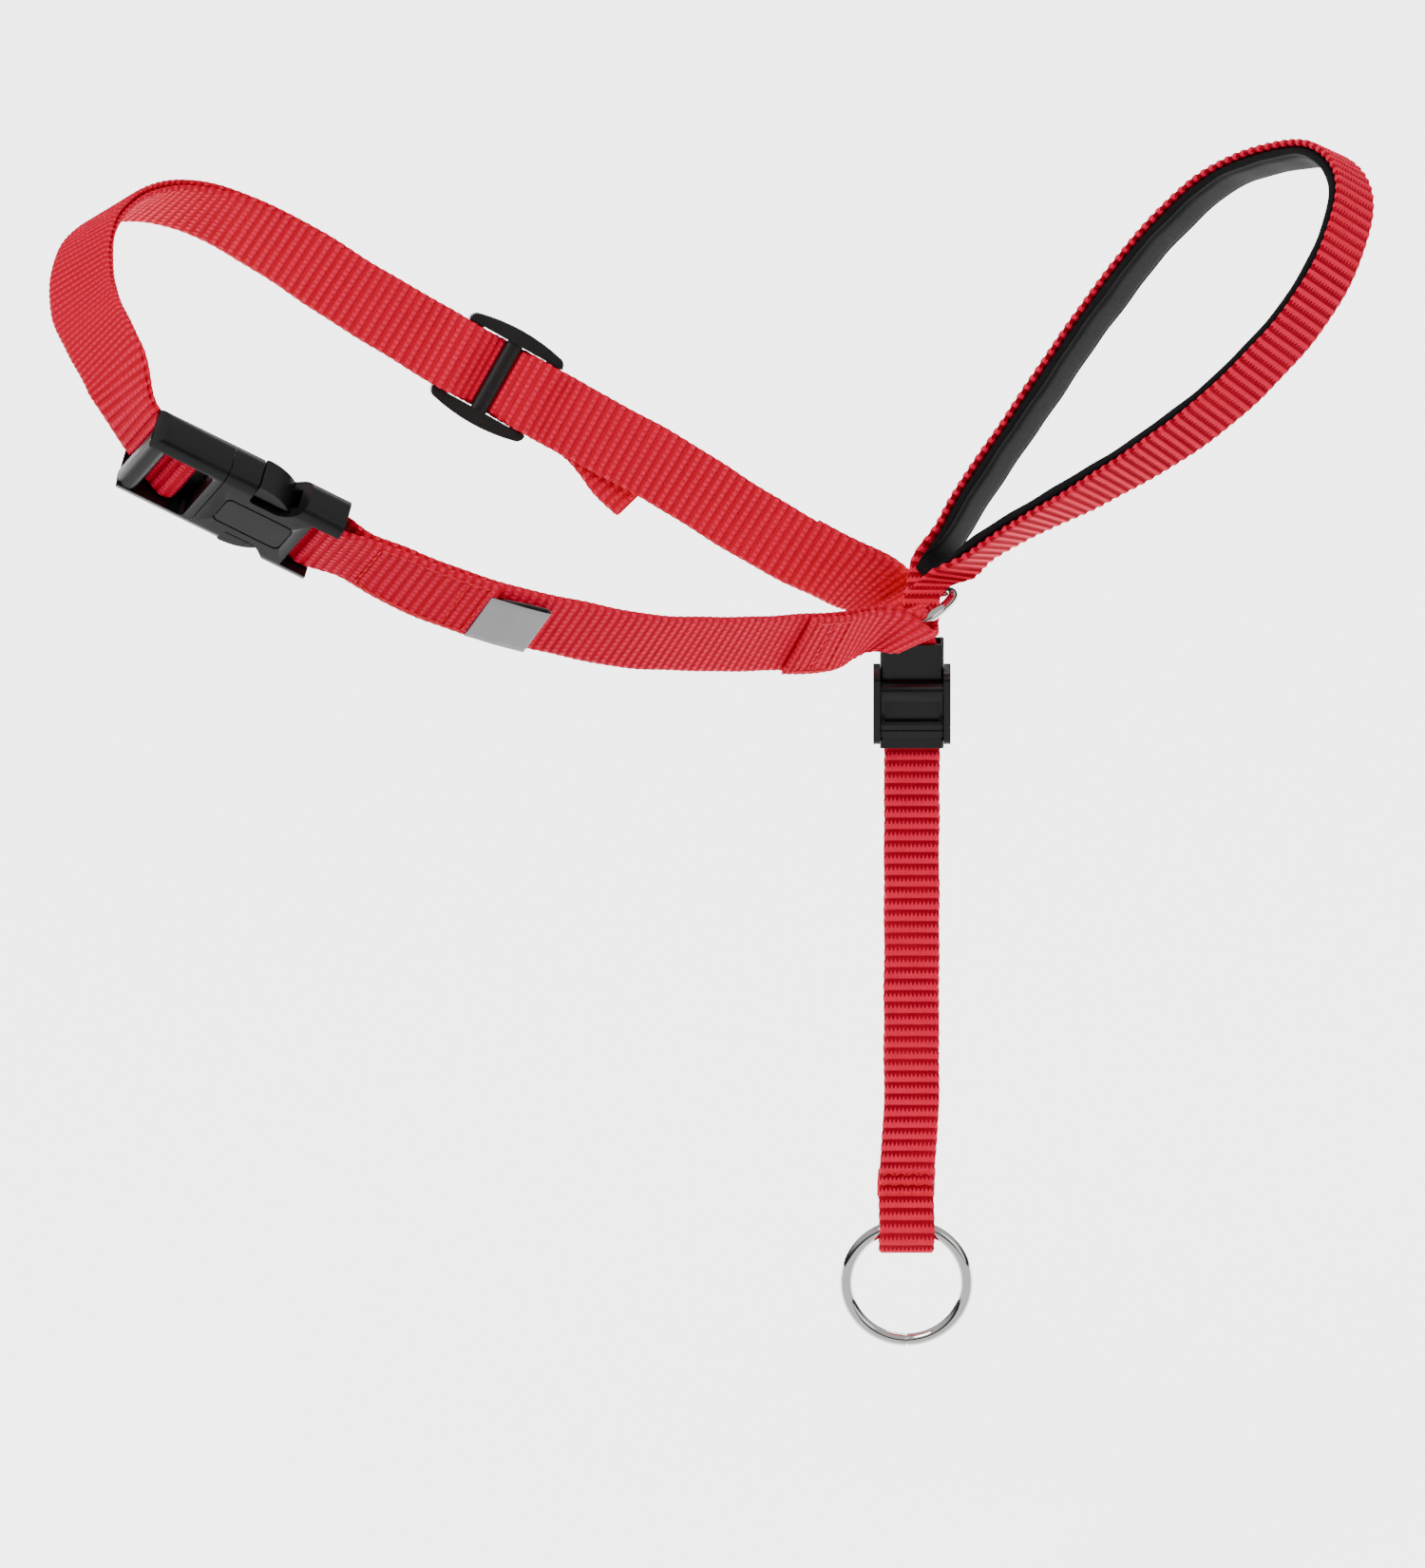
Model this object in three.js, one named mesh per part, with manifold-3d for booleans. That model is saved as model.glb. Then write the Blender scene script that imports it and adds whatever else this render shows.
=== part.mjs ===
// A head halter for a dog: an adjustable neck strap with a side-release buckle, a padded nose loop, and a
// control strap that carries a sliding clamp and a lead ring. All of them meet at one small neck ring.
// Millimetres, +Z up. The origin is the centre of the neck ring, and the control strap hangs along -Z.
import * as THREE from 'three';
import { mergeVertices } from 'three/addons/utils/BufferGeometryUtils.js';
import Module from 'manifold-3d';

const wasm = await Module();
wasm.setup();

// ---- driving dimensions ----
const clearance = 0.3; // air between pieces that touch on the real halter
const neckWidth = 20; // webbing of the neck strap
const neckThickness = 1.5;
const noseWidth = 15; // webbing of the nose loop and the control strap
const noseThickness = 1.8;
const liningThickness = 3;
const liningWidth = 14.4;

const neckRingRadius = 11; // to the middle of the wire
const neckRingWire = 3; // wire diameter
const leadRingRadius = 16.5;
const leadRingWire = 3.5;

const ringX = 1.2; // where the nose strap and the control strap pass through the neck ring
const strapX = -1.3; // the control strap hangs a little to one side
const foldX = -2.6; // and its end a little more
const controlLength = 176.5; // neck ring down to the wire of the lead ring
const foldDrop = 6.2; // the fold hangs this far below the wire
const sliderLength = 29;
const sliderThickness = 2;
const buckleWidth = 28;
const buckleThickness = 12.6;
const buckleLength = 58.5;
const clampHeight = 29.5;
const clampTop = -8; // upper end of the clamp below the neck ring

// ---- small helpers ----
const vec = (x, y, z) => new THREE.Vector3(x, y, z);
const radians = (degrees) => (degrees * Math.PI) / 180;
const ease = (t) => {
  const x = Math.min(Math.max(t, 0), 1);
  return x * x * (3 - 2 * x);
};
const mix = (a, b, t) => a + (b - a) * t;

// Bare positions with shared vertices, and smooth-free normals.
function weld(geometry) {
  const bare = geometry.index ? geometry.clone() : geometry;
  bare.deleteAttribute('normal');
  bare.deleteAttribute('uv');
  const merged = mergeVertices(bare, 1e-4);
  merged.computeVertexNormals();
  return merged;
}

function toSolid(geometry) {
  const merged = weld(geometry);
  return new wasm.Manifold(
    new wasm.Mesh({
      numProp: 3,
      vertProperties: new Float32Array(merged.attributes.position.array),
      triVerts: new Uint32Array(merged.index.array),
    }),
  );
}

function toGeometry(solid) {
  const mesh = solid.getMesh();
  const geometry = new THREE.BufferGeometry();
  geometry.setAttribute('position', new THREE.BufferAttribute(mesh.vertProperties, 3));
  geometry.setIndex(new THREE.BufferAttribute(mesh.triVerts, 1));
  geometry.computeVertexNormals();
  return geometry;
}

function boxBetween(low, high) {
  const size = vec(high[0] - low[0], high[1] - low[1], high[2] - low[2]);
  const box = new THREE.BoxGeometry(size.x, size.y, size.z);
  return box.translate(low[0] + size.x / 2, low[1] + size.y / 2, low[2] + size.z / 2);
}

// A rod of elliptic section along Z: halfX and halfY are its half axes.
function rodAlongZ(halfX, halfY, length, sides = 24) {
  const rod = new THREE.CylinderGeometry(1, 1, length, sides);
  return rod.rotateX(Math.PI / 2).scale(halfX, halfY, 1);
}

// A rounded rectangle between two corners, each corner an arc.
function roundedRectangle(left, bottom, right, top, radius) {
  const shape = new THREE.Shape();
  shape.moveTo(left + radius, bottom);
  shape.lineTo(right - radius, bottom);
  shape.absarc(right - radius, bottom + radius, radius, -Math.PI / 2, 0);
  shape.lineTo(right, top - radius);
  shape.absarc(right - radius, top - radius, radius, 0, Math.PI / 2);
  shape.lineTo(left + radius, top);
  shape.absarc(left + radius, top - radius, radius, Math.PI / 2, Math.PI);
  shape.lineTo(left, bottom + radius);
  shape.absarc(left + radius, bottom + radius, radius, Math.PI, 1.5 * Math.PI);
  return shape;
}

// An outline in the X-Y plane, extruded evenly about z = middle.
function slab(shape, thickness, middle = 0, curveSegments = 6) {
  const solid = new THREE.ExtrudeGeometry(shape, {
    depth: thickness,
    bevelEnabled: false,
    curveSegments,
  });
  return solid.translate(0, 0, middle - thickness / 2);
}

// A wrap of webbing round a ring is wider than the wire by the wire's own bow across the webbing.
function wrapRound(ringRadius, wire, breadth, thickness) {
  const slope = Math.asin(breadth / 2 / ringRadius);
  const bow = ringRadius * (1 - Math.cos(slope));
  return { bow, radius: wire / 2 / Math.cos(slope) + bow / 2 + clearance * 1.5 + thickness / 2 };
}

const parts = new THREE.Group();
function addPiece(name, geometry, look, matrix) {
  const piece = new THREE.Mesh(geometry, new THREE.MeshStandardMaterial(look));
  piece.name = name;
  if (matrix) {
    matrix.decompose(piece.position, piece.quaternion, piece.scale);
  }
  parts.add(piece);
}

const redWebbing = { color: 0xd3202f, roughness: 0.62, metalness: 0 };
const blackPlastic = { color: 0x17181a, roughness: 0.38, metalness: 0 };
const blackLining = { color: 0x0c0c0e, roughness: 0.9, metalness: 0 };
const nickelSteel = { color: 0xc9cacc, roughness: 0.16, metalness: 1 };
const greySatin = { color: 0xb9bbbf, roughness: 0.45, metalness: 0 };

// ---- planes that the two loops lie in ----
// across is the way the webbing's width points, along is the loop's long way.
function planeOf(across, along) {
  const n = across.clone().normalize();
  const u = along.clone().addScaledVector(n, -along.dot(n)).normalize();
  const v = n.clone().cross(u);
  const place = (row) => vec(0, 0, 0).addScaledVector(u, row[0]).addScaledVector(v, row[1]).addScaledVector(n, row[2]);
  return { u, v, n, place };
}
const neckPlane = planeOf(vec(0.4845, -0.2531, 0.8374), vec(-0.829, 0.1728, 0.5318));
const nosePlane = planeOf(vec(0.621, 0.499, -0.605), vec(0.561, 0.256, 0.787));

// ---- the neck ring, and where each neck strap end wraps it ----
const ringAxis = vec(-0.455, 0.026, 0.89).normalize();
const ringRight = vec(0.883, 0.145, 0.446);
ringRight.addScaledVector(ringAxis, -ringRight.dot(ringAxis)).normalize();
const ringBack = ringAxis.clone().cross(ringRight);
const nearWrapAngle = 255;
const farWrapAngle = 98;
const wrapBreadth = 12; // the webbing gathers where it passes the small ring
const neckWrap = wrapRound(neckRingRadius, neckRingWire, wrapBreadth, neckThickness);
const wrapRadius = neckWrap.radius;
const wrapDistance = neckRingRadius - neckWrap.bow / 2;

function ringWrap(angle) {
  const turn = radians(angle);
  const outward = ringRight.clone().multiplyScalar(Math.cos(turn)).addScaledVector(ringBack, Math.sin(turn));
  const wire = ringRight.clone().multiplyScalar(-Math.sin(turn)).addScaledVector(ringBack, Math.cos(turn));
  return { outward, wire, centre: outward.clone().multiplyScalar(wrapDistance) };
}

// ---- buckle frame: x from the male end towards the female end, y outwards from the neck ----
const buckleLean = 20;
const buckleStart = neckPlane.place([199.5, 162.5, 0]);
const buckleX = neckPlane.place([-0.965, -0.264, 0]).normalize();
const buckleFlatY = neckPlane.place([-0.264, 0.965, 0]).normalize();
const buckleWide = neckPlane.n.clone().multiplyScalar(Math.cos(radians(buckleLean)));
buckleWide.addScaledVector(buckleFlatY, Math.sin(radians(buckleLean)));
const buckleY = buckleX.clone().cross(buckleWide).negate().normalize();
if (buckleY.dot(buckleFlatY) < 0) {
  buckleY.negate();
}
const buckleZ = buckleX.clone().cross(buckleY);
const buckleMatrix = new THREE.Matrix4().makeBasis(buckleX, buckleY, buckleZ).setPosition(buckleStart);
const onBuckle = (x, y) => vec(x, y, 0).applyMatrix4(buckleMatrix);

const seamX = 23; // where the two buckle halves meet
const innerBarX = 13.2;
const innerBarRadius = 1.9;
const fixedBarX = 55;
const fixedBarRadius = 2.2;

// ---- strap routes ----
// A route is a smooth line down the middle of the webbing. outSign picks the side that faces away from the
// dog, and each point carries the angle that the webbing's width leans outwards.
function makeRoute(plane, points, leans, outSign, start, end) {
  const curve = new THREE.CatmullRomCurve3(points);
  curve.arcLengthDivisions = 1200;
  const length = curve.getLength();
  const at = (s) => {
    const t = curve.getUtoTmapping(Math.min(Math.max(s / length, 0), 1));
    const point = curve.getPoint(t);
    const tangent = curve.getTangent(t);
    const place = t * (points.length - 1);
    const from = Math.min(Math.floor(place), points.length - 2);
    const lean = radians(mix(leans[from], leans[from + 1], place - from));
    const out = plane.n.clone().cross(tangent).multiplyScalar(outSign).normalize();
    const flat = tangent.clone().cross(out).multiplyScalar(outSign).normalize();
    if (flat.dot(plane.n) < 0) {
      flat.negate();
    }
    const width = flat.multiplyScalar(Math.cos(lean)).addScaledVector(out, Math.sin(lean));
    if (start) {
      width.lerpVectors(start.width, width, ease((s - start.held) / start.twist)).normalize();
    }
    if (end) {
      width.lerpVectors(end.width, width, ease((length - end.held - s) / end.twist)).normalize();
    }
    const normal = width.clone().cross(tangent).multiplyScalar(outSign).normalize();
    return { s, point, tangent, width, normal };
  };
  return { length, at };
}

// Even samples along a route, closer together where the line bends hard.
function sampleRoute(route, fineFrom, fineTo, coarse = 5, fine = 1.2) {
  const samples = [];
  let s = 0;
  while (s < route.length) {
    samples.push(route.at(s));
    const inFine = fineFrom.some((from, i) => s >= from && s < fineTo[i]);
    s += inFine ? fine : coarse;
  }
  samples.push(route.at(route.length));
  return samples;
}

// Direction and outward side of each sample, measured on the line as it now runs.
function redirect(samples, outSign) {
  samples.forEach((sample, i) => {
    const next = samples[Math.min(i + 1, samples.length - 1)].point;
    const last = samples[Math.max(i - 1, 0)].point;
    sample.tangent = next.clone().sub(last).normalize();
    sample.normal = sample.width.clone().cross(sample.tangent).multiplyScalar(outSign).normalize();
  });
  return samples;
}

const shifted = (sample, offset) => ({
  point: sample.point.clone().addScaledVector(sample.normal, offset),
  width: sample.width,
  breadth: sample.breadth,
});

// Half a turn about a sample, from the side at startSide (+1 outer) to the other one.
function halfTurn(sample, radius, startSide, ahead, steps = 9) {
  const turn = [];
  for (let i = 1; i < steps; i += 1) {
    const angle = (Math.PI * i) / steps;
    const point = sample.point.clone();
    point.addScaledVector(sample.normal, startSide * radius * Math.cos(angle));
    point.addScaledVector(sample.tangent, ahead * radius * Math.sin(angle));
    turn.push({ point, width: sample.width, breadth: sample.breadth });
  }
  return turn;
}

// A strip of webbing bent along stations: a long box whose vertices move to the stations.
function bendStrip(stations, thickness) {
  const steps = stations.length - 1;
  const strip = new THREE.BoxGeometry(1, 1, 1, steps, 1, 1);
  const position = strip.attributes.position;
  const normals = stations.map((station, i) => {
    const next = stations[Math.min(i + 1, steps)].point;
    const last = stations[Math.max(i - 1, 0)].point;
    return station.width.clone().cross(next.clone().sub(last)).normalize();
  });
  for (let i = 0; i < position.count; i += 1) {
    const k = Math.round((position.getX(i) + 0.5) * steps);
    const corner = stations[k].point.clone();
    corner.addScaledVector(normals[k], position.getY(i) * thickness);
    corner.addScaledVector(stations[k].width, position.getZ(i) * stations[k].breadth);
    position.setXYZ(i, corner.x, corner.y, corner.z);
  }
  return weld(strip);
}

const layerPitch = neckThickness + 0.25; // two layers of neck webbing, middle to middle
const halfPitch = layerPitch / 2;
const spread = 15; // a layer leaves its neighbour over this length before a wrap
const gather = 18;
const neckBreadth = (s) => mix(wrapBreadth, neckWidth, ease(s / gather));

// How far each layer lies from the route: half a pitch, and more near a wrap at either end.
const layerOffset = (s, length, startRadius, endRadius) =>
  halfPitch +
  (startRadius - halfPitch) * ease(1 - s / spread) +
  (endRadius - halfPitch) * ease(1 - (length - s) / spread);

// ---- fixed half of the neck strap: ring to the female buckle half ----
const ringHem = 52;
const buckleHem = 54;
function fixedStrapLine() {
  const wrap = ringWrap(nearWrapAngle);
  const middle = [
    [7, 23, 0.5],
    [14, 38, 0],
    [26, 56, 0],
    [40.5, 77, 0],
    [58, 98.5, 0],
    [77.5, 115.5, 0],
    [96, 129, 0],
    [114, 138.5, 0],
    [130, 143.5, 0],
  ];
  const points = [wrap.centre, wrap.centre.clone().addScaledVector(wrap.outward, 5.5)];
  points.push(...middle.map(neckPlane.place));
  points.push(onBuckle(fixedBarX, 0));
  const leans = [0, 0, -8, -6, -4, -1, 1, 2, 4, 8, 13, buckleLean];
  const start = { width: wrap.wire, held: 4, twist: 26 };
  const end = { width: buckleWide, held: 9, twist: 16 };
  const route = makeRoute(neckPlane, points, leans, 1, start, end);
  const samples = sampleRoute(route, [0, route.length - 14], [14, route.length]);
  samples.forEach((sample) => {
    sample.breadth = neckBreadth(sample.s);
  });
  return { length: route.length, samples: redirect(samples, 1) };
}

function strapBetween(line, startHem, endHem, startRadius, endRadius) {
  const { samples, length } = line;
  const offset = (sample) => layerOffset(sample.s, length, startRadius, endRadius);
  const stations = [];
  samples.filter((sample) => sample.s <= startHem).reverse().forEach((sample) => {
    stations.push(shifted(sample, offset(sample)));
  });
  stations.push(...halfTurn(samples[0], startRadius, 1, -1));
  samples.forEach((sample) => stations.push(shifted(sample, -offset(sample))));
  stations.push(...halfTurn(samples[samples.length - 1], endRadius, -1, 1));
  samples.filter((sample) => sample.s >= length - endHem).reverse().forEach((sample) => {
    stations.push(shifted(sample, offset(sample)));
  });
  return stations;
}

const fixedLine = fixedStrapLine();
const fixedBarWrap = fixedBarRadius + clearance + neckThickness / 2;
const fixedStations = strapBetween(fixedLine, ringHem, buckleHem, wrapRadius, fixedBarWrap);
addPiece('neck_strap_fixed', bendStrip(fixedStations, neckThickness), redWebbing);

// ---- adjustable half: ring, slider, male buckle bar, and back through the slider to a loose tail ----
const farHem = 46;
const sliderPlace = 140.5; // along the route from the neck ring
const straightHalf = 17; // the strap runs straight this far each side of the slider
const straightBlend = 14;
const barPitch = sliderLength - 5; // from one end bar of the slider to the other
const barHalf = sliderThickness / 2;
const weaveHeight = barHalf + clearance + neckThickness / 2 + halfPitch;
const weaveRunOut = 8;
// The webbing lies inside both end bars and outside the middle bar, in one even wave.
function weave(s) {
  const x = Math.abs(s - sliderPlace);
  const crest = barPitch / 2;
  if (x <= crest) {
    return weaveHeight * Math.cos((Math.PI * x) / crest);
  }
  return -weaveHeight * (1 - ease((x - crest) / weaveRunOut));
}

// Pulls the samples near the slider onto one straight line with one width direction.
function straighten(samples, middle) {
  for (const sample of samples) {
    const away = sample.s - middle.s;
    const share = ease((straightHalf + straightBlend - Math.abs(away)) / straightBlend);
    sample.point.lerp(middle.point.clone().addScaledVector(middle.tangent, away), share);
    sample.width.lerp(middle.width, share).normalize();
  }
  return redirect(samples, -1);
}

function adjustableLine() {
  const wrap = ringWrap(farWrapAngle);
  const middle = [
    [14, -6, -4],
    [24, 2.5, -1],
    [38, 8, 0],
    [82, 12.5, 0],
    [122, 20, 0],
    [143, 23.5, 0],
    [170, 27, 0],
    [200, 29, 0],
    [223.5, 36, 0],
    [237.5, 52, 0],
    [243, 81, 0],
    [235.5, 110, 0],
  ];
  const points = [wrap.centre, wrap.centre.clone().addScaledVector(wrap.outward, 5.5)];
  points.push(...middle.map(neckPlane.place));
  points.push(onBuckle(-11, -20), onBuckle(-1.5, -8), onBuckle(5.5, -3.4), onBuckle(innerBarX, 0.3));
  const leans = [0, 0, 0, 5, 14, 24, 29, 27, 16, 1, -13, -20, -24, -26, -14, 4, buckleLean, buckleLean];
  const start = { width: wrap.wire.clone().negate(), held: 4, twist: 26 };
  const end = { width: buckleWide, held: 14, twist: 20 };
  const route = makeRoute(neckPlane, points, leans, -1, start, end);
  const fineFrom = [0, sliderPlace - 24, route.length - 34];
  const fineTo = [14, sliderPlace + 24, route.length];
  const slider = route.at(sliderPlace);
  slider.width.addScaledVector(slider.tangent, -slider.width.dot(slider.tangent)).normalize();
  slider.normal = slider.tangent.clone().cross(slider.width);
  const samples = straighten(sampleRoute(route, fineFrom, fineTo), slider);
  samples.forEach((sample) => {
    sample.breadth = neckBreadth(sample.s);
    sample.point.addScaledVector(sample.normal, weave(sample.s));
  });
  return { length: route.length, slider, samples: redirect(samples, -1) };
}

const adjustable = adjustableLine();
const innerBarWrap = innerBarRadius + clearance + neckThickness / 2;
const tailFrom = 88; // the loose tail ends this far from the neck ring
const tailSlope = 0.27;
// The tail droops below the strap and stands off it.
function drooped(station, sample) {
  const free = Math.max(sliderPlace - barPitch / 2 - weaveRunOut - sample.s, 0);
  const slope = tailSlope * ease(free / 12);
  station.point.addScaledVector(sample.width, -tailSlope * free * ease(free / 24));
  station.point.addScaledVector(sample.normal, 0.004 * free * free);
  station.width = sample.width.clone().addScaledVector(sample.tangent, -slope).normalize();
  return station;
}
function adjustableStations() {
  const stations = strapBetween(adjustable, farHem, 0, wrapRadius, innerBarWrap);
  adjustable.samples.filter((sample) => sample.s >= tailFrom).reverse().slice(1).forEach((sample) => {
    const offset = layerOffset(sample.s, adjustable.length, wrapRadius, innerBarWrap);
    stations.push(drooped(shifted(sample, offset), sample));
  });
  return stations;
}
addPiece('neck_strap_adjustable', bendStrip(adjustableStations(), neckThickness), redWebbing);

// ---- slider ----
const sliderRail = 4.2; // how far each rail swells out at its middle, near enough
const sliderRailThickness = sliderThickness + 1.4;
const sliderBarHalf = 2.3;
function sliderGeometry() {
  const inside = neckWidth / 2 + clearance;
  const railLength = sliderLength;
  const rail = new THREE.Shape();
  rail.moveTo(-railLength / 2, 0);
  rail.quadraticCurveTo(-railLength / 2, sliderRail * 0.45, -railLength / 2 + 1.6, sliderRail * 0.6);
  rail.quadraticCurveTo(0, sliderRail * 1.35, railLength / 2 - 1.6, sliderRail * 0.6);
  rail.quadraticCurveTo(railLength / 2, sliderRail * 0.45, railLength / 2, 0);
  rail.lineTo(-railLength / 2, 0);
  const flatRail = slab(rail, sliderRailThickness, 0, 8).rotateX(Math.PI / 2);
  const far = flatRail.clone().rotateY(Math.PI).translate(0, 0, -inside);
  const near = flatRail.translate(0, 0, inside);
  let solid = toSolid(near).add(toSolid(far));
  for (const x of [-barPitch / 2, 0, barPitch / 2]) {
    solid = solid.add(toSolid(rodAlongZ(sliderBarHalf, barHalf, 2 * inside + 1).translate(x, 0, 0)));
  }
  return toGeometry(solid);
}
const sliderX = adjustable.slider.tangent;
const sliderZ = adjustable.slider.width;
const sliderMatrix = new THREE.Matrix4().makeBasis(sliderX, sliderZ.clone().cross(sliderX), sliderZ);
sliderMatrix.setPosition(adjustable.slider.point);
addPiece('strap_slider', sliderGeometry(), blackPlastic, sliderMatrix);

// ---- side-release buckle ----
const railInside = neckWidth / 2 + clearance;
const halfBuckle = buckleWidth / 2;
const halfThick = buckleThickness / 2;
const through = halfThick + 1; // a cut this far each way goes right through
const bodyCorner = 3.8;
const endBarLength = 6.2;
const endBarBack = -1; // the strap passes behind the end bar
const openingEnd = 17.4;
const pocketEnd = 20.5; // a shallow pocket beyond the opening
const pocketFloor = -1.5;
const cavityHalfZ = 11.2;
const cavityHalfY = 3.2;
const cavityEnd = 46.5;
const sideWindow = [32, 44];
const windowDepth = 7.8; // the window in each side starts this far from the middle
const flareLength = 4;
const femaleEnd = 50.5;
const guideHalfZ = 2.6;
const guideHalfY = 2.2;

// A length of the buckle's rounded bar section, which both halves are cut from.
function buckleBar(from, to, radius) {
  const section = roundedRectangle(-halfThick, -halfBuckle, halfThick, halfBuckle, radius);
  const toX = new THREE.Matrix4().makeBasis(vec(0, 1, 0), vec(0, 0, 1), vec(1, 0, 0));
  return toSolid(slab(section, to - from, (from + to) / 2, 5).applyMatrix4(toX));
}

// An outline in the buckle's flat plane, cut through from y = low to y = high.
function flatCut(shape, low, high, curveSegments = 6) {
  const cut = slab(shape, high - low, -(low + high) / 2, curveSegments);
  return toSolid(cut.rotateX(-Math.PI / 2).scale(1, -1, -1));
}

function maleGeometry() {
  const corners = 5;
  const outline = roundedRectangle(0, -halfBuckle, seamX + corners, halfBuckle, corners);
  let frame = buckleBar(0, seamX, bodyCorner).intersect(flatCut(outline, -through, through));
  frame = frame.subtract(toSolid(boxBetween([-1, -through, -railInside], [openingEnd, through, railInside])));
  const pocket = roundedRectangle(openingEnd - 3, -railInside, pocketEnd, railInside, 1.5);
  frame = frame.subtract(flatCut(pocket, pocketFloor, through));
  const endBar = roundedRectangle(0, endBarBack, endBarLength, halfThick - 0.2, 2.7);
  const innerBar = rodAlongZ(innerBarRadius, innerBarRadius, 2 * railInside + 1).translate(innerBarX, 0.3, 0);
  frame = frame.add(toSolid(slab(endBar, 2 * railInside + 1))).add(toSolid(innerBar));
  const guideFrom = [pocketEnd + 1, -guideHalfY, -guideHalfZ];
  const guide = boxBetween(guideFrom, [cavityEnd - 3, guideHalfY, guideHalfZ]);
  return toGeometry(frame.add(toSolid(guide)));
}

// One snap arm: a flat spring, and a thick button that fills the side window.
const armRoot = seamX + clearance;
const armThickness = 5;
const armEdge = { rootInner: 5.2, rootOuter: 9.6, shoulder: 10.3, tipOuter: 8.6, tipInner: 7 };
const buttonThickness = buckleThickness - 2.6;
const buttonFrom = sideWindow[0] + clearance;
const buttonTo = sideWindow[1] - 1;
const buttonFoot = windowDepth + clearance + 1.6; // room for the squeeze
function armGeometry() {
  const arm = new THREE.Shape();
  arm.moveTo(armRoot, armEdge.rootInner);
  arm.lineTo(armRoot, armEdge.rootOuter);
  arm.lineTo(buttonFrom, armEdge.shoulder);
  arm.lineTo(buttonTo, armEdge.tipOuter);
  arm.lineTo(buttonTo, armEdge.tipInner);
  arm.quadraticCurveTo(buttonFrom + 5, armEdge.tipInner - 0.4, armRoot, armEdge.rootInner);
  const button = new THREE.Shape();
  button.moveTo(buttonFrom, buttonFoot);
  button.lineTo(buttonFrom, halfBuckle - 0.9);
  button.quadraticCurveTo(buttonFrom + 0.1, halfBuckle, buttonFrom + 1.2, halfBuckle);
  button.quadraticCurveTo(buttonFrom + 7, halfBuckle - 0.3, buttonTo, buttonFoot + 0.4);
  button.lineTo(buttonTo, buttonFoot);
  button.lineTo(buttonFrom, buttonFoot);
  const spring = toSolid(slab(arm, armThickness, 0, 8));
  return toGeometry(spring.add(toSolid(slab(button, buttonThickness, 0, 8))));
}

// The side window: square towards the seam, and flaring out again towards the end cheek.
function windowShape() {
  const shape = new THREE.Shape();
  const outside = halfBuckle + 2;
  shape.moveTo(sideWindow[0], outside);
  shape.lineTo(sideWindow[0], windowDepth + 1.5);
  shape.quadraticCurveTo(sideWindow[0], windowDepth, sideWindow[0] + 1.5, windowDepth);
  shape.lineTo(sideWindow[1] - 4, windowDepth);
  shape.quadraticCurveTo(sideWindow[1] - 0.5, windowDepth, sideWindow[1] + flareLength - 1.2, halfBuckle);
  shape.lineTo(sideWindow[1] + flareLength - 1.2, outside);
  shape.lineTo(sideWindow[0], outside);
  return shape;
}

const panelGroove = { from: 27, to: 47.5, half: 5.5, radius: 1.8, width: 0.55, depth: 0.45 };
function femaleGeometry() {
  let solid = buckleBar(seamX + clearance, buckleLength, bodyCorner);
  const cavity = boxBetween([seamX - 1, -cavityHalfY, -cavityHalfZ], [cavityEnd, cavityHalfY, cavityHalfZ]);
  solid = solid.subtract(toSolid(cavity));
  const strapMouth = boxBetween([femaleEnd, -through, -railInside], [buckleLength + 1, through, railInside]);
  solid = solid.subtract(toSolid(strapMouth));
  const opening = flatCut(windowShape(), -through, through);
  const flip = new THREE.Matrix4().makeScale(1, 1, -1);
  solid = solid.subtract(opening).subtract(opening.transform(flip.elements));
  const groove = (inset, high) => {
    const { from, to, half, radius } = panelGroove;
    const shape = roundedRectangle(from + inset, -half + inset, to - inset, half - inset, radius - inset / 2);
    return flatCut(shape, halfThick - panelGroove.depth, high, 4);
  };
  solid = solid.subtract(groove(0, through).subtract(groove(panelGroove.width, through + 1)));
  const bar = rodAlongZ(fixedBarRadius, fixedBarRadius, 2 * railInside + 1).translate(fixedBarX, 0, 0);
  return toGeometry(solid.add(toSolid(bar)));
}

addPiece('buckle_male_frame', maleGeometry(), blackPlastic, buckleMatrix);
addPiece('buckle_female', femaleGeometry(), blackPlastic, buckleMatrix);
const toBuckleSide = new THREE.Matrix4().makeRotationX(Math.PI / 2);
const mirrored = new THREE.Matrix4().makeRotationX(-Math.PI / 2);
addPiece('buckle_arm_upper', armGeometry(), blackPlastic, buckleMatrix.clone().multiply(mirrored));
addPiece('buckle_arm_lower', armGeometry(), blackPlastic, buckleMatrix.clone().multiply(toBuckleSide));

// ---- size label: a folded satin tab that comes out from under the buckle hem ----
const labelThickness = 1;
const labelLength = 17;
function labelStations() {
  const end = fixedLine.length - buckleHem;
  const stations = [];
  for (const sample of fixedLine.samples) {
    const past = end - clearance - sample.s;
    if (past > 0 && past < labelLength) {
      const station = shifted(sample, -halfPitch + neckThickness / 2 + clearance + labelThickness / 2);
      station.breadth = neckWidth - 1;
      stations.push(station);
    }
  }
  return stations;
}
addPiece('size_label', bendStrip(labelStations(), labelThickness), greySatin);

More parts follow.
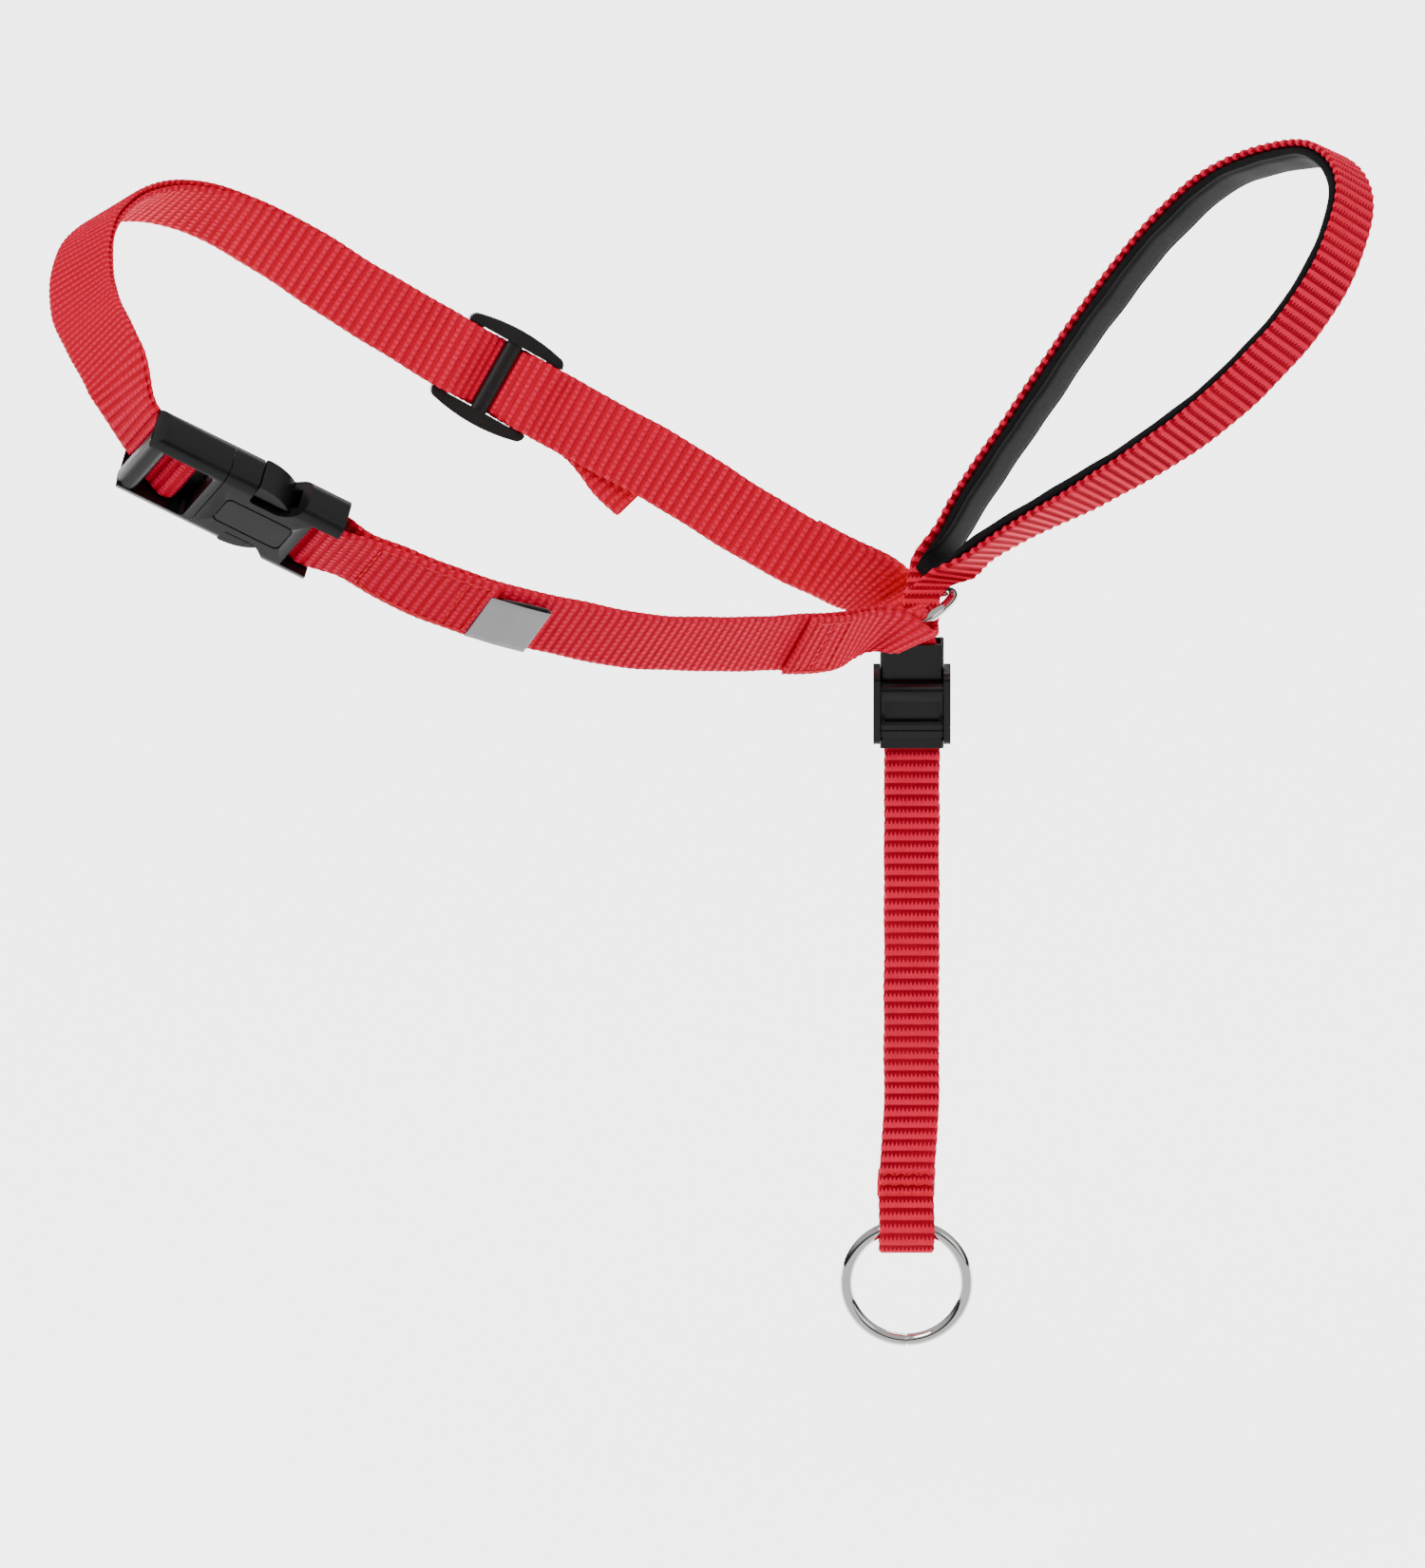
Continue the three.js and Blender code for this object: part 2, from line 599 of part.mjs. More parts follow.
// ---- nose loop ----
const noseGap = 0.3; // between the two layers of the control strap
const frontLayerY = -(noseThickness + noseGap) / 2;
const noseStart = 0.15; // half of the gap between the nose strap and the control strap
function noseRoute() {
  const middle = [
    [16, -6.5, 0],
    [31, -9.8, 0],
    [57, -10, 0],
    [78, -10, 0],
    [100, -9.4, 0],
    [121.5, -6.8, 0],
    [142, 0, 0],
    [156, 13, 0],
    [166, 32.5, 0],
    [162.5, 50, 0],
    [147, 60.5, 0],
    [125.5, 63.5, 0],
    [100.5, 58.5, 0],
    [76, 47.2, 0],
    [52.5, 31, 0],
    [33, 15.5, 0],
    [17, 5, 0],
  ];
  const back = [vec(ringX, -frontLayerY, noseStart), vec(ringX + 0.3, -frontLayerY, 5.5)];
  const front = [vec(ringX + 0.3, frontLayerY, 5.5), vec(ringX, frontLayerY, noseStart)];
  const points = [...back, ...middle.map(nosePlane.place), ...front];
  const leans = [0, 0, 22, 22, 21, 21, 20, 20, 20, 15, 8, 4, 4, 4, 5, 1, -10, -22, -30, 0, 0];
  return makeRoute(nosePlane, points, leans, -1, null, null);
}
const nose = noseRoute();
const controlAcross = vec(1, 0, 0);
const noseTwistFrom = 7;
const noseTwist = 20;
const noseGather = 14; // the webbing narrows where it passes through the neck ring
const noseNeck = 10;
function noseStations(from, to, offset, breadth) {
  const stations = [];
  const count = Math.round((to - from) / 3);
  for (let i = 0; i <= count; i += 1) {
    const sample = nose.at(mix(from, to, i / count));
    const fromEnd = Math.min(sample.s, nose.length - sample.s);
    const twist = ease((fromEnd - noseTwistFrom) / noseTwist);
    sample.width.lerpVectors(controlAcross, sample.width, twist).normalize();
    sample.normal = sample.width.clone().cross(sample.tangent).normalize();
    const wide = ease((fromEnd - noseTwistFrom) / noseGather);
    sample.breadth = Math.min(breadth, mix(noseNeck, noseWidth, wide));
    stations.push(shifted(sample, offset));
  }
  return stations;
}
addPiece('nose_strap', bendStrip(noseStations(0, nose.length, 0, noseWidth), noseThickness), redWebbing);
const liningOffset = (noseThickness + liningThickness) / 2 + clearance;
const liningInset = 27;
const liningSide = 1;
const liningStations = noseStations(liningInset, nose.length - liningInset, liningSide * liningOffset, liningWidth);
addPiece('nose_lining', bendStrip(liningStations, liningThickness), blackLining);

// ---- control strap: two layers joined by the fold that holds the lead ring ----
const leadWrap = wrapRound(leadRingRadius, leadRingWire, noseWidth, noseThickness);
const foldSpread = 14; // the layers part over this length above the wire
function controlStations() {
  const width = vec(1, 0, 0);
  const centreX = (z) => mix(mix(ringX, strapX, ease(-z / -clampTop)), foldX, ease((-z - 140) / 25));
  const half = (z) => mix(-frontLayerY, leadWrap.radius, ease(1 - (controlLength + z) / foldSpread));
  const breadth = (z) => mix(noseNeck, noseWidth, ease(-z / noseGather));
  const heights = [];
  for (let z = -noseStart; z > -controlLength + foldSpread; z -= 3) {
    heights.push(z);
  }
  for (let z = -controlLength + foldSpread; z > -controlLength; z -= 1.75) {
    heights.push(z);
  }
  heights.push(-controlLength);
  const layer = (side) => (z) => ({ point: vec(centreX(z), side * half(z), z), width, breadth: breadth(z) });
  const fold = [];
  for (let i = 1; i < 14; i += 1) {
    const angle = (Math.PI * i) / 14;
    const y = -leadWrap.radius * Math.cos(angle);
    fold.push({ point: vec(foldX, y, -controlLength - foldDrop * Math.sin(angle)), width, breadth: noseWidth });
  }
  return [...heights.map(layer(-1)), ...fold, ...heights.slice().reverse().map(layer(1))];
}
addPiece('control_strap', bendStrip(controlStations(), noseThickness), redWebbing);

// ---- rings ----
function ring(radius, wire) {
  return weld(new THREE.TorusGeometry(radius, wire / 2, 12, 48));
}
const neckRingMatrix = new THREE.Matrix4().makeBasis(ringRight, ringBack, ringAxis);
addPiece('neck_ring', ring(neckRingRadius, neckRingWire), nickelSteel, neckRingMatrix);
const leadRingZ = -controlLength + leadWrap.bow / 2 - leadRingRadius;
const leadRingMatrix = new THREE.Matrix4().makeRotationX(Math.PI / 2).setPosition(foldX, 0, leadRingZ);
addPiece('lead_ring', ring(leadRingRadius, leadRingWire), nickelSteel, leadRingMatrix);

// ---- nose clamp: a sleeve that slides on the control strap, and a cam lever between its cheeks ----
const sleeveInsideX = noseWidth / 2 + clearance;
const sleeveInsideY = noseThickness + noseGap / 2 + clearance;
const sleeveWall = 1.5;
const sleeveOutsideX = sleeveInsideX + 0.9;
const sleeveOutsideY = sleeveInsideY + sleeveWall;
const cheekThickness = 1.9;
const cheekFrontY = -8.2;
const cheekTop = clampTop - 7;
const cheekBottom = clampTop - 27.5;
const hingeZ = clampTop - 12.4;
const hingeY = -sleeveOutsideY - 1.3;
const hubRadius = 2.4;
const pinRadius = 1.3;
const leverLength = 13;
const leverHalfX = sleeveOutsideX - clearance;
const alongX = (radius, length) => new THREE.CylinderGeometry(radius, radius, length, 20).rotateZ(Math.PI / 2);

function clampSleeveGeometry() {
  const bottom = clampTop - clampHeight;
  const sleeve = roundedRectangle(-sleeveOutsideX, -sleeveOutsideY, sleeveOutsideX, sleeveOutsideY, 0.8);
  let solid = toSolid(slab(sleeve, clampHeight, (clampTop + bottom) / 2, 4));
  const outline = roundedRectangle(cheekFrontY, cheekBottom, sleeveOutsideY, cheekTop, 2.2);
  const toSide = new THREE.Matrix4().makeBasis(vec(0, 1, 0), vec(0, 0, 1), vec(1, 0, 0));
  for (const side of [-1, 1]) {
    const cheek = slab(outline, cheekThickness, side * (sleeveOutsideX + cheekThickness / 2 - 0.05));
    solid = solid.add(toSolid(cheek.applyMatrix4(toSide)));
  }
  const passage = [-sleeveInsideX, -sleeveInsideY, bottom - 1];
  solid = solid.subtract(toSolid(boxBetween(passage, [sleeveInsideX, sleeveInsideY, clampTop + 1])));
  const camSlot = hubRadius;
  const slotLow = [-leverHalfX - clearance, -sleeveOutsideY - 1, hingeZ - camSlot];
  solid = solid.subtract(toSolid(boxBetween(slotLow, [leverHalfX + clearance, -1, hingeZ + camSlot])));
  const socket = alongX(pinRadius + 0.05, 2 * (sleeveOutsideX + cheekThickness - 0.4));
  return toGeometry(solid.subtract(toSolid(socket.translate(0, hingeY, hingeZ))));
}

function clampLeverGeometry() {
  const plateBack = -sleeveOutsideY - clearance;
  let solid = toSolid(alongX(hubRadius, 2 * leverHalfX).translate(0, hingeY, hingeZ));
  const plate = new THREE.Shape();
  plate.moveTo(plateBack, hingeZ);
  plate.lineTo(plateBack, hingeZ - leverLength);
  plate.lineTo(plateBack - 2.6, hingeZ - leverLength);
  plate.lineTo(plateBack - 2.9, hingeZ - leverLength + 3.6);
  plate.quadraticCurveTo(plateBack - 1.1, hingeZ - 5.5, hingeY - hubRadius * 0.96, hingeZ - 0.7);
  plate.lineTo(plateBack, hingeZ);
  const toSide = new THREE.Matrix4().makeBasis(vec(0, 1, 0), vec(0, 0, 1), vec(1, 0, 0));
  solid = solid.add(toSolid(slab(plate, 2 * leverHalfX).applyMatrix4(toSide)));
  const pin = alongX(pinRadius, 2 * (sleeveOutsideX + cheekThickness - 0.6));
  solid = solid.add(toSolid(pin.translate(0, hingeY, hingeZ)));
  const recessHalf = leverHalfX - 1;
  const recessLow = [-recessHalf, plateBack - 9, hingeZ - 8.6];
  solid = solid.subtract(toSolid(boxBetween(recessLow, [recessHalf, plateBack - 1, hingeZ - 2.9])));
  const lineLow = [-leverHalfX - 1, plateBack - 9, hingeZ - 11.2];
  return toGeometry(solid.subtract(toSolid(boxBetween(lineLow, [leverHalfX + 1, plateBack - 2.2, hingeZ - 10.8]))));
}
const clampMatrix = new THREE.Matrix4().setPosition(strapX, 0, 0);
addPiece('clamp_sleeve', clampSleeveGeometry(), blackPlastic, clampMatrix);
addPiece('clamp_lever', clampLeverGeometry(), blackPlastic, clampMatrix);

export default parts;
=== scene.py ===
import itertools
import math

import bmesh
import bpy
import numpy as np
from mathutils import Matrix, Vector


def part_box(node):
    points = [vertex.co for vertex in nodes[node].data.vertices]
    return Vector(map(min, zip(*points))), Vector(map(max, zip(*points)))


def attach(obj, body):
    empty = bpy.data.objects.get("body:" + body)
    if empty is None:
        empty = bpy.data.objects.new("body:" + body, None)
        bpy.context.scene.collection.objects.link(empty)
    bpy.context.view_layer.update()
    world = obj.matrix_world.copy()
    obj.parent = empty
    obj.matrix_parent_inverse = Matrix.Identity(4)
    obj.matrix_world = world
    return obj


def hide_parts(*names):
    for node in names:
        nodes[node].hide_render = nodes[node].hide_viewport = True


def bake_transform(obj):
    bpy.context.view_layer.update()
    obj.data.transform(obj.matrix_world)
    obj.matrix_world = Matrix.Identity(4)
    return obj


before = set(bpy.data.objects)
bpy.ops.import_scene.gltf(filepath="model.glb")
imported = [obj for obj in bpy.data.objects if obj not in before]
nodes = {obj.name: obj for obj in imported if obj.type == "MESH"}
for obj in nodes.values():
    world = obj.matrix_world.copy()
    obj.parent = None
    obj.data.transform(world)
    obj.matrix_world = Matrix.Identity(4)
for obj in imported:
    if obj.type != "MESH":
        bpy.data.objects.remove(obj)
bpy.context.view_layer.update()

# all lengths here are in metres and all angles in degrees, unless a note says otherwise
camera = {"elevation": 18.0, "distance": 14.0, "sensor": 36.0, "tall": 0.4267, "centre": (-0.0556, -0.0465)}
light = {
    "key": 30.0,
    "fill": 6.5,
    "rim": 9.0,
    "dome": 0.68,
    "horizon": 0.03,
    "rise": (0.12, 0.55),  # heights between which the horizon turns into the dome
    "floor": -0.32,
    "glow": 3.4,
    "glowFrom": (-0.12, 0.1),  # the floor's glow comes up over this stretch
}


# A long lens from far away, so that the near and the far strap show at nearly the same scale.
def makeCamera():
    up = math.radians(camera["elevation"])
    back = Vector((0, -math.cos(up), math.sin(up)))
    lift = Vector((0, math.sin(up), math.cos(up)))
    middle = Vector((1, 0, 0)) * camera["centre"][0] + lift * camera["centre"][1]
    data = bpy.data.cameras.new("camera")
    data.sensor_width = camera["sensor"]
    data.lens = camera["sensor"] * camera["distance"] / camera["tall"]
    data.clip_end = 100
    made = bpy.data.objects.new("camera", data)
    made.location = middle + back * camera["distance"]
    made.rotation_euler = (-back).to_track_quat("-Z", "Y").to_euler()
    bpy.context.collection.objects.link(made)
    bpy.context.scene.camera = made


def addAreaLight(name, place, target, size, power):
    data = bpy.data.lights.new(name, "AREA")
    data.shape = "DISK"
    data.size = size
    data.energy = power
    made = bpy.data.objects.new(name, data)
    made.location = place
    made.rotation_euler = (Vector(target) - Vector(place)).to_track_quat("-Z", "Y").to_euler()
    bpy.context.collection.objects.link(made)


# A bright dome over a darker horizon, which gives plated and moulded surfaces something to reflect.
def makeWorld():
    world = bpy.data.worlds.new("studio")
    world.use_nodes = True
    tree = world.node_tree
    direction = tree.nodes.new("ShaderNodeTexCoord")
    parts = tree.nodes.new("ShaderNodeSeparateXYZ")
    height = tree.nodes.new("ShaderNodeMapRange")
    height.interpolation_type = "SMOOTHSTEP"
    height.inputs[1].default_value, height.inputs[2].default_value = light["rise"]
    height.inputs[3].default_value = light["horizon"]
    height.inputs[4].default_value = light["dome"]
    tree.links.new(direction.outputs["Generated"], parts.inputs[0])
    tree.links.new(parts.outputs[2], height.inputs[0])
    tree.nodes["Background"].inputs[0].default_value = (1, 1, 1, 1)
    tree.links.new(height.outputs[0], tree.nodes["Background"].inputs[1])
    bpy.context.scene.world = world


# The floor glows behind the halter only, so the backdrop is white and the front faces stay dark.
def makeStage():
    bpy.ops.mesh.primitive_plane_add(size=12, location=(0, 0, light["floor"]))
    floor = bpy.context.object
    floor.name = "floor"
    mat = Shader("floor_white")
    behind = mat.node("ShaderNodeSeparateXYZ", {}, {0: mat.place()})
    glow = mat.mix(Value(mat, behind.outputs[1]).ramp(*light["glowFrom"]), (0.0, 0.0, 0.0), (1.0, 1.0, 1.0))
    mat.set(color=(0.93, 0.93, 0.93), roughness=0.9, specular_ior_level=0.0)
    mat.set(emission_color=glow, emission_strength=light["glow"])
    floor.data.materials.append(mat.material)
    makeWorld()
    addAreaLight("key", (-0.8, -1.3, 1.7), (-0.08, 0, 0), 0.9, light["key"])
    addAreaLight("fill", (1.6, -1.1, 0.5), (-0.05, 0, 0), 1.4, light["fill"])
    addAreaLight("rim", (0.5, 1.5, 1.4), (-0.05, 0, 0), 0.9, light["rim"])


# A value in a node tree, so that shader maths reads as arithmetic.
class Value:
    def __init__(self, shader, socket):
        self.shader = shader
        self.socket = socket

    def math(self, kind, *others):
        made = self.shader.node("ShaderNodeMath", {"operation": kind}, dict(enumerate((self, *others))))
        return Value(self.shader, made.outputs[0])

    def __add__(self, other):
        return self.math("ADD", other)

    def __mul__(self, other):
        return self.math("MULTIPLY", other)

    def __sub__(self, other):
        return self.math("SUBTRACT", other)

    def __rsub__(self, other):
        return (self * -1.0).math("ADD", other)

    def __truediv__(self, other):
        return self.math("DIVIDE", other)

    __radd__ = __add__
    __rmul__ = __mul__

    def wave(self):
        return (self * (2 * math.pi)).math("COSINE") * 0.5 + 0.5

    def ramp(self, low, high):
        settings = {"interpolation_type": "SMOOTHSTEP"}
        made = self.shader.node("ShaderNodeMapRange", settings, {0: self, 1: low, 2: high})
        return Value(self.shader, made.outputs[0])


class Shader:
    def __init__(self, name):
        self.material = bpy.data.materials.new(name)
        self.material.use_nodes = True
        self.tree = self.material.node_tree
        self.main = self.tree.nodes["Principled BSDF"]

    def node(self, kind, settings={}, sockets={}):
        made = self.tree.nodes.new(kind)
        for key, value in settings.items():
            setattr(made, key, value)
        for key, value in sockets.items():
            self.put(made.inputs[key], value)
        return made

    def put(self, slot, value):
        if isinstance(value, Value):
            self.tree.links.new(value.socket, slot)
        elif isinstance(value, tuple):
            slot.default_value = (*value, 1.0)[: len(slot.default_value)]
        else:
            slot.default_value = value

    def set(self, color=None, **sockets):
        if color is not None:
            self.put(self.main.inputs["Base Color"], color)
        for key, value in sockets.items():
            self.put(self.main.inputs[key.replace("_", " ").title().replace("Ior", "IOR")], value)

    def place(self):
        return Value(self, self.node("ShaderNodeTexCoord").outputs["Object"])

    def attribute(self, name):
        return Value(self, self.node("ShaderNodeAttribute", {"attribute_name": name}).outputs["Fac"])

    def noise(self, scale, detail=3.0, rough=0.55):
        sockets = {"Vector": self.place(), "Scale": scale, "Detail": detail, "Roughness": rough}
        made = self.node("ShaderNodeTexNoise", {}, sockets)
        return Value(self, made.outputs["Fac"])

    def mix(self, factor, low, high):
        made = self.node("ShaderNodeMix", {"data_type": "RGBA"}, {0: factor, 6: low, 7: high})
        return Value(self, made.outputs[2])

    def bump(self, height, strength, distance):
        made = self.node("ShaderNodeBump", {}, {"Strength": strength, "Distance": distance, "Height": height})
        self.put(self.main.inputs["Normal"], Value(self, made.outputs[0]))


# The straps carry their own place along them, in rows of the weave, and across them, in millimetres.
def makeWebbing(name, look):
    mat = Shader(name)
    along, across = mat.attribute("along"), mat.attribute("across")
    shift = (along + 0.5).math("FLOOR").math("MODULO", 2.0) * 0.5
    yarn = (across / look["yarn"] + shift).wave()
    teeth = (across / look["tooth"]).wave() * (along - 0.35).wave() * look["toothReach"]
    crest = (along.wave() + teeth).ramp(look["crestFrom"], look["crestTo"])
    fuzz = mat.noise(2600, 4)
    patch = mat.noise(45, 2).ramp(0.35, 0.7)
    dirt = mat.noise(160, 4).ramp(0.45, 0.8)
    # shine is a painted highlight and painted shade: the colour runs from deep in the grooves between rows
    # and yarns to bright on the rib crests and yarn tops, following the weave's relief
    shine = crest * (yarn * look["dotShare"] + (1 - look["dotShare"]))
    color = mat.mix(shine, look["deep"], look["bright"])
    color = mat.mix(patch * 0.25, color, look["mid"])
    color = mat.mix(dirt * 0.15, color, look["deep"])
    mat.set(color=color, roughness=0.5 + fuzz * 0.2 + (1.0 - shine) * 0.1)
    mat.set(specular_ior_level=look["gloss"])
    mat.bump(shine + fuzz * 0.2, look["bump"], look["relief"])
    return mat.material


def makeLiningCloth():
    mat = Shader("lining_black")
    cloth = mat.noise(1400, 5, 0.7)
    folds = mat.noise(90, 3)
    rub = mat.noise(60, 3).ramp(0.5, 0.75)
    shade = mat.mix(folds, (0.001, 0.001, 0.0015), (0.004, 0.004, 0.005))
    mat.set(color=mat.mix(rub * 0.3, shade, (0.012, 0.012, 0.014)), roughness=0.7 + cloth * 0.2)
    mat.set(specular_ior_level=0.22)
    mat.bump(cloth + folds * 2.0, 0.5, 0.0002)
    return mat.material


def makePlastic(name, tone, gloss):
    mat = Shader(name)
    grain = mat.noise(3200, 2)
    haze = mat.noise(70, 4).ramp(0.4, 0.75)
    scuff = mat.noise(420, 5, 0.7).ramp(0.6, 0.85)
    color = mat.mix(scuff * 0.3, tone, tuple(c * 2.5 + 0.006 for c in tone))
    mat.set(color=color, roughness=gloss + haze * 0.08 + scuff * 0.12, specular_ior_level=0.35)
    mat.bump(grain + scuff * 0.4, 0.16, 0.00006)
    return mat.material


def makeNickel():
    mat = Shader("nickel")
    smear = mat.noise(120, 4).ramp(0.35, 0.8)
    dull = mat.noise(900, 3).ramp(0.55, 0.75)
    color = mat.mix(dull * 0.3, (0.62, 0.61, 0.6), (0.42, 0.41, 0.4))
    mat.set(color=color, roughness=0.05 + smear * 0.06 + dull * 0.1, metallic=1.0)
    mat.bump(mat.noise(300, 3), 0.05, 0.0001)
    return mat.material


# Grey satin outside; the ribbon's inner face inside the fold is painted near black, a painted shade.
def makeSatin():
    mat = Shader("label_satin")
    across, inside = mat.attribute("across"), mat.attribute("inside")
    thread = (across / 0.3).wave()
    crease = mat.noise(140, 3)
    face = mat.mix(thread * 0.4 + crease * 0.3, (0.3, 0.3, 0.31), (0.5, 0.5, 0.52))
    # inside switches the inner face of the fold to the near-black painted shade
    mat.set(color=mat.mix(inside, face, (0.004, 0.004, 0.005)), roughness=0.33 + crease * 0.2)
    mat.bump(thread + crease * 2.0, 0.3, 0.0001)
    return mat.material


def makeThread(tone):
    mat = Shader("thread")
    ply = mat.noise(2400, 2)
    color = mat.mix(mat.noise(300, 3), tone, tuple(min(1, c * 1.3 + 0.004) for c in tone))
    mat.set(color=color, roughness=0.45 + ply * 0.2, specular_ior_level=0.3)
    mat.bump(ply, 0.4, 0.0001)
    return mat.material


# In each look, deep is the painted shade in the grooves and also the dirt colour, bright is the painted
# highlight on the crests, and mid is the tone of random patches.
neckLook = {
    "yarn": 1.55,
    "tooth": 0.78,
    "toothReach": 0.1,
    "crestFrom": 0.15,
    "crestTo": 0.8,
    "dotShare": 0.62,
    "gloss": 0.06,
    "bump": 0.9,
    "relief": 0.0005,
    "deep": (0.58, 0.0, 0.02),
    "mid": (0.8, 0.003, 0.04),
    "bright": (0.99, 0.014, 0.075),
}
noseLook = {
    "yarn": 0.8,
    "tooth": 1.1,
    "toothReach": 0.8,
    "crestFrom": 0.45,
    "crestTo": 0.8,
    "dotShare": 0.12,
    "gloss": 0.06,
    "bump": 0.8,
    "relief": 0.0004,
    "deep": (0.34, 0.0, 0.012),
    "mid": (0.7, 0.002, 0.03),
    "bright": (0.97, 0.01, 0.065),
}


def makePiece(name, points, faces, material, smooth=True, **values):
    mesh = bpy.data.meshes.new(name)
    mesh.from_pydata(points.tolist(), [], faces)
    mesh.polygons.foreach_set("use_smooth", np.full(len(mesh.polygons), smooth))
    for key, numbers in values.items():
        attribute = mesh.attributes.new(key, "FLOAT", "POINT")
        attribute.data.foreach_set("value", np.asarray(numbers, np.float32).ravel())
    mesh.materials.append(material)
    mesh.update()
    made = bpy.data.objects.new(name, mesh)
    bpy.context.collection.objects.link(made)
    return made


# A closed grid of rings by round points, with flat caps at both ends.
def gridFaces(rings, count, closedLong=False):
    k, j = np.meshgrid(np.arange(rings - (not closedLong)), np.arange(count), indexing="ij")
    a = k * count + j
    b = k * count + (j + 1) % count
    c = ((k + 1) % rings) * count + (j + 1) % count
    d = ((k + 1) % rings) * count + j
    faces = np.stack([a, b, c, d], -1).reshape(-1, 4).tolist()
    if not closedLong:
        faces.append(list(range(count))[::-1])
        faces.append([(rings - 1) * count + i for i in range(count)])
    return faces


def unit(v):
    return v / np.maximum(np.linalg.norm(v, axis=-1, keepdims=True), 1e-12)


# The CAD strap is a strip with four corners at each station. Walking it from an end cap gives the stations
# in order: middle, half width and half thickness vectors, in metres.
def stripStations(name, firstNear):
    mesh = nodes[name].data
    co = np.empty(len(mesh.vertices) * 3, np.float32)
    mesh.vertices.foreach_get("co", co)
    co = co.reshape(-1, 3).astype(float)
    unique, index = np.unique(np.round(co * 1e6).astype(int), axis=0, return_inverse=True)
    points = unique / 1e6
    mesh.calc_loop_triangles()
    tri = np.empty(len(mesh.loop_triangles) * 3, np.int32)
    mesh.loop_triangles.foreach_get("vertices", tri)
    tri = index.ravel()[tri].reshape(-1, 3)
    edges = np.concatenate([tri[:, [0, 1]], tri[:, [1, 2]], tri[:, [2, 0]]])
    edges = np.concatenate([edges, edges[:, ::-1]])

    def walk(seeds):
        level = np.full(len(points), -1)
        level[seeds] = 0
        step = 0
        while True:
            reached = edges[level[edges[:, 0]] == step, 1]
            reached = reached[level[reached] < 0]
            if not len(reached):
                return level
            step += 1
            level[reached] = step

    far = walk([0])
    for tip in np.flatnonzero(far == far.max()):
        around = np.unique(edges[edges[:, 0] == tip, 1])
        for others in itertools.combinations(around, 3):
            level = walk([tip, *others])
            if (np.bincount(level) == 4).all():
                return orderStations(points[np.argsort(level, kind="stable")], firstNear)
    raise RuntimeError("no end cap found on " + name)


def orderStations(points, firstNear):
    corners = points.reshape(-1, 4, 3)
    middle = corners.mean(1)
    if np.linalg.norm(middle[0] - firstNear) > np.linalg.norm(middle[-1] - firstNear):
        corners, middle = corners[::-1], middle[::-1]
    spread, axes = np.linalg.svd(corners - middle[:, None])[1:]
    wide = axes[:, 0] * spread[:, :1] / 2
    turn = np.sign((wide[1:] * wide[:-1]).sum(-1))
    wide[1:] *= np.cumprod(turn)[:, None]
    ahead = unit(np.gradient(middle, axis=0))
    normal = unit(np.cross(wide, ahead))
    thick = normal * spread[:, 1:2] / 2
    return middle, wide, thick


# Smooth resampling of station arrays by distance along the strip.
def resample(stations, step):
    middle = stations[0]
    length = np.concatenate([[0], np.cumsum(np.linalg.norm(np.diff(middle, axis=0), axis=1))])
    s = np.linspace(0, length[-1], int(length[-1] / step) + 1)
    k = np.clip(np.searchsorted(length, s, side="right") - 1, 0, len(length) - 2)
    gap = length[k + 1] - length[k]
    t = ((s - length[k]) / gap)[:, None]

    def hermite(values):
        slope = np.gradient(values, length, axis=0)
        a, b = values[k], values[k + 1]
        ma, mb = slope[k] * gap[:, None], slope[k + 1] * gap[:, None]
        return (
            (2 * t**3 - 3 * t**2 + 1) * a
            + (t**3 - 2 * t**2 + t) * ma
            + (-2 * t**3 + 3 * t**2) * b
            + (t**3 - t**2) * mb
        )

    return s, [hermite(v) for v in stations]


def smooth(x):
    x = np.clip(x, 0, 1)
    return x * x * (3 - 2 * x)


# A flattened ring of round points: even across the two faces, rounded at the two selvedges.
def webbingSection(columns, edge):
    x = np.linspace(-1, 1, columns)
    top = np.stack([x, np.sqrt(np.clip(1 - ((np.abs(x) - 1 + edge) / edge).clip(0) ** 2, 0.02, 1))], 1)
    bottom = top[::-1] * [1, -1]
    return np.concatenate([top, bottom])


# The strip's own frame at each station, for whatever is sewn to it.
class Track:
    def __init__(self, node, step):
        self.s, (self.middle, wide, thick) = resample(stripStations(node, np.zeros(3)), step)
        self.half = np.linalg.norm(wide, axis=1)
        self.up = np.linalg.norm(thick, axis=1)
        self.across, self.normal = unit(wide), unit(thick)

    # A point above the strip's face: s along it, x across it and h above its middle, all in metres.
    def at(self, s, x, h):
        def pick(values):
            return np.stack([np.interp(s, self.s, values[:, i]) for i in range(3)], -1)

        return pick(self.middle) + unit(pick(self.across)) * x[:, None] + unit(pick(self.normal)) * h[:, None]


